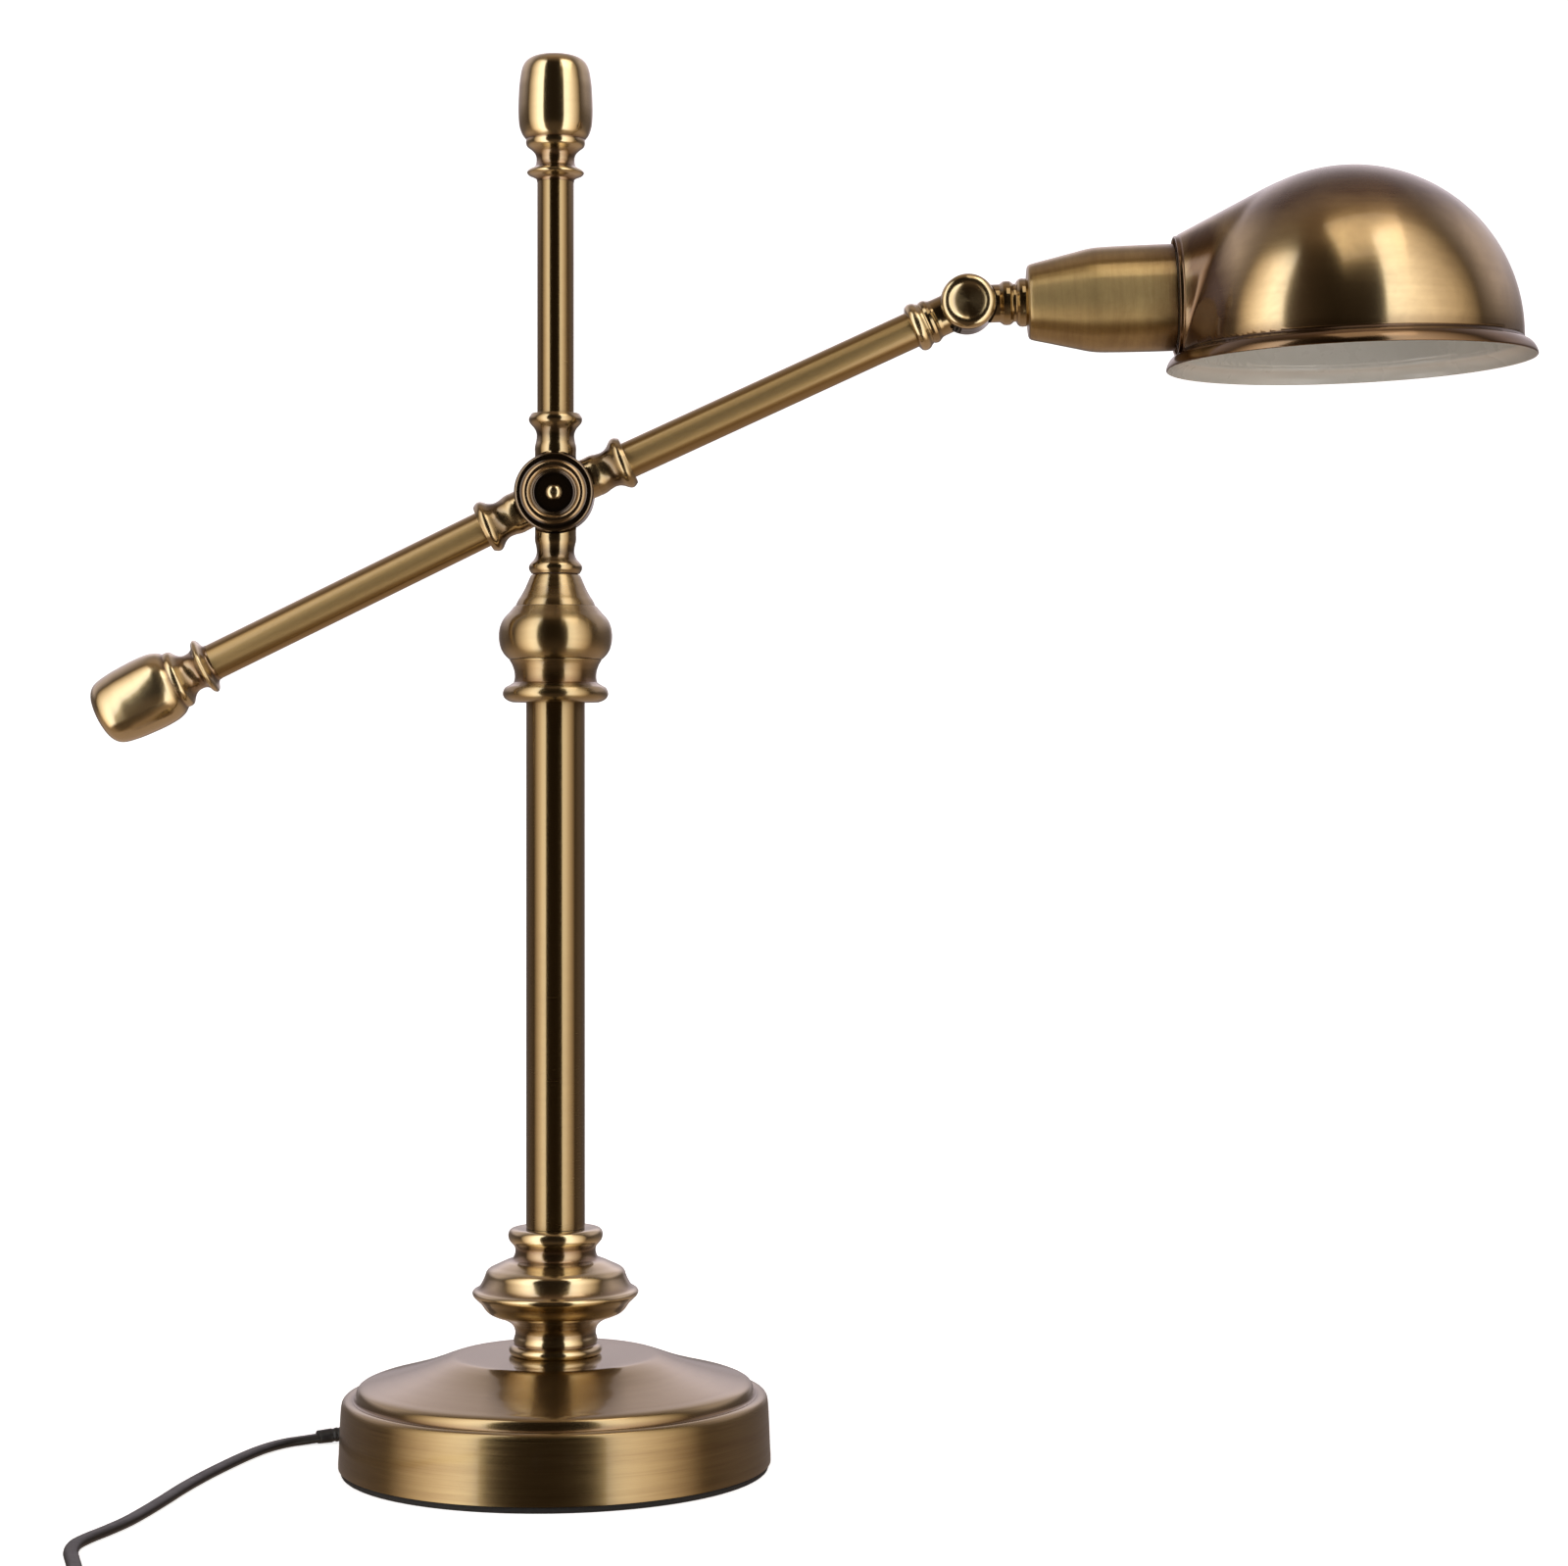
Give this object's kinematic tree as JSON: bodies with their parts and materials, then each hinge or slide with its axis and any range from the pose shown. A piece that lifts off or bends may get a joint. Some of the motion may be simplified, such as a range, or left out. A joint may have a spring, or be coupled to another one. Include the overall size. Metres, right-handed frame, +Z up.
{
  "type": "swing arm desk lamp",
  "caption": "Desk lamp with a round weighted base, a turned column, a swivelling mast, a tilting counterweighted arm and a tilting dome shade on its end.",
  "frame": {"origin": "centre of the base's underside, on the table", "axes": "+Z up the column; the arm's raised half and the shade point towards +X; the cross joint's cap faces -Y"},
  "size_m": [0.5538, 0.3651, 0.5422],
  "materials": {
    "polished_brass": "antique, polished and lacquered",
    "brushed_brass": "antique, brushed",
    "patina_brass": "antique, satin with a mottled patina",
    "bare_brass": "plain",
    "steel": "plain",
    "dark_steel": "blackened",
    "cast_iron": "raw casting",
    "pad_rubber": "matte",
    "soft_rubber": "satin",
    "cord_jacket": "satin",
    "black_plastic": "fine satin texture",
    "rocker_plastic": "gloss",
    "fibre": "pressed fibre",
    "porcelain": "glazed"
  },
  "bodies": {
    "base": {"base_pad": "pad_rubber", "base_shell": "brushed_brass", "base_weight": "cast_iron", "base_washer": "steel", "base_nut": "steel", "tie_rod": "steel", "cord_relief": "soft_rubber", "knop": "polished_brass", "column_tube": "brushed_brass", "urn_collar": "polished_brass", "urn_ball": "polished_brass", "urn_cone": "polished_brass", "swivel_washer": "fibre", "swivel_stop": "steel", "cord_run": "cord_jacket", "switch_base": "black_plastic", "switch_cover": "black_plastic", "cord_mid": "cord_jacket", "cord_coil": "cord_jacket", "coil_tie": "soft_rubber", "cord_end": "cord_jacket", "plug_body": "black_plastic", "plug_blades": "steel"},
    "mast": {"swivel_pin": "steel", "swivel_nut": "steel", "neck_collar_lower": "polished_brass", "mast_hub": "polished_brass", "neck_collar_upper": "polished_brass", "top_rod": "brushed_brass", "top_finial": "polished_brass", "joint_bolt": "polished_brass", "joint_cap": "polished_brass", "joint_washer": "fibre", "joint_nut": "polished_brass"},
    "arm": {"arm_hub": "polished_brass", "neck_collar_left": "polished_brass", "neck_collar_right": "polished_brass", "arm_tube_left": "brushed_brass", "arm_tube_right": "brushed_brass", "arm_finial": "polished_brass", "arm_end_collar": "polished_brass", "knuckle_arm": "polished_brass", "knuckle_bolt": "polished_brass", "knuckle_cap": "polished_brass", "knuckle_washer": "fibre", "knuckle_nut": "polished_brass", "knuckle_screw": "dark_steel"},
    "head": {"knuckle_head": "polished_brass", "socket_cup": "patina_brass", "lampholder": "porcelain", "thread_shell": "bare_brass", "centre_contact": "bare_brass", "shade": "patina_brass", "shade_ring": "porcelain"},
    "rocker": {"switch_rocker": "rocker_plastic"}
  },
  "joints": [
    {"name": "mast_swivel", "type": "hinge", "parent": "base", "child": "mast", "pos_m": [0, 0, 0.343], "axis": [0, 0, 1], "range_deg": [-165, 165]},
    {"name": "arm_tilt", "type": "hinge", "parent": "mast", "child": "arm", "pos_m": [0, 0, 0.3737], "axis": [0, -1, 0], "range_deg": [-54, 4]},
    {"name": "head_tilt", "type": "hinge", "parent": "arm", "child": "head", "pos_m": [0.15799, 0, 0.44637], "axis": [0, -1, 0], "range_deg": [-60, 90]},
    {"name": "switch_rock", "type": "hinge", "parent": "base", "child": "rocker", "pos_m": [-0.075, -0.268, 0.0106], "axis": [0, -1, 0], "range_deg": [0, 16]}
  ]
}
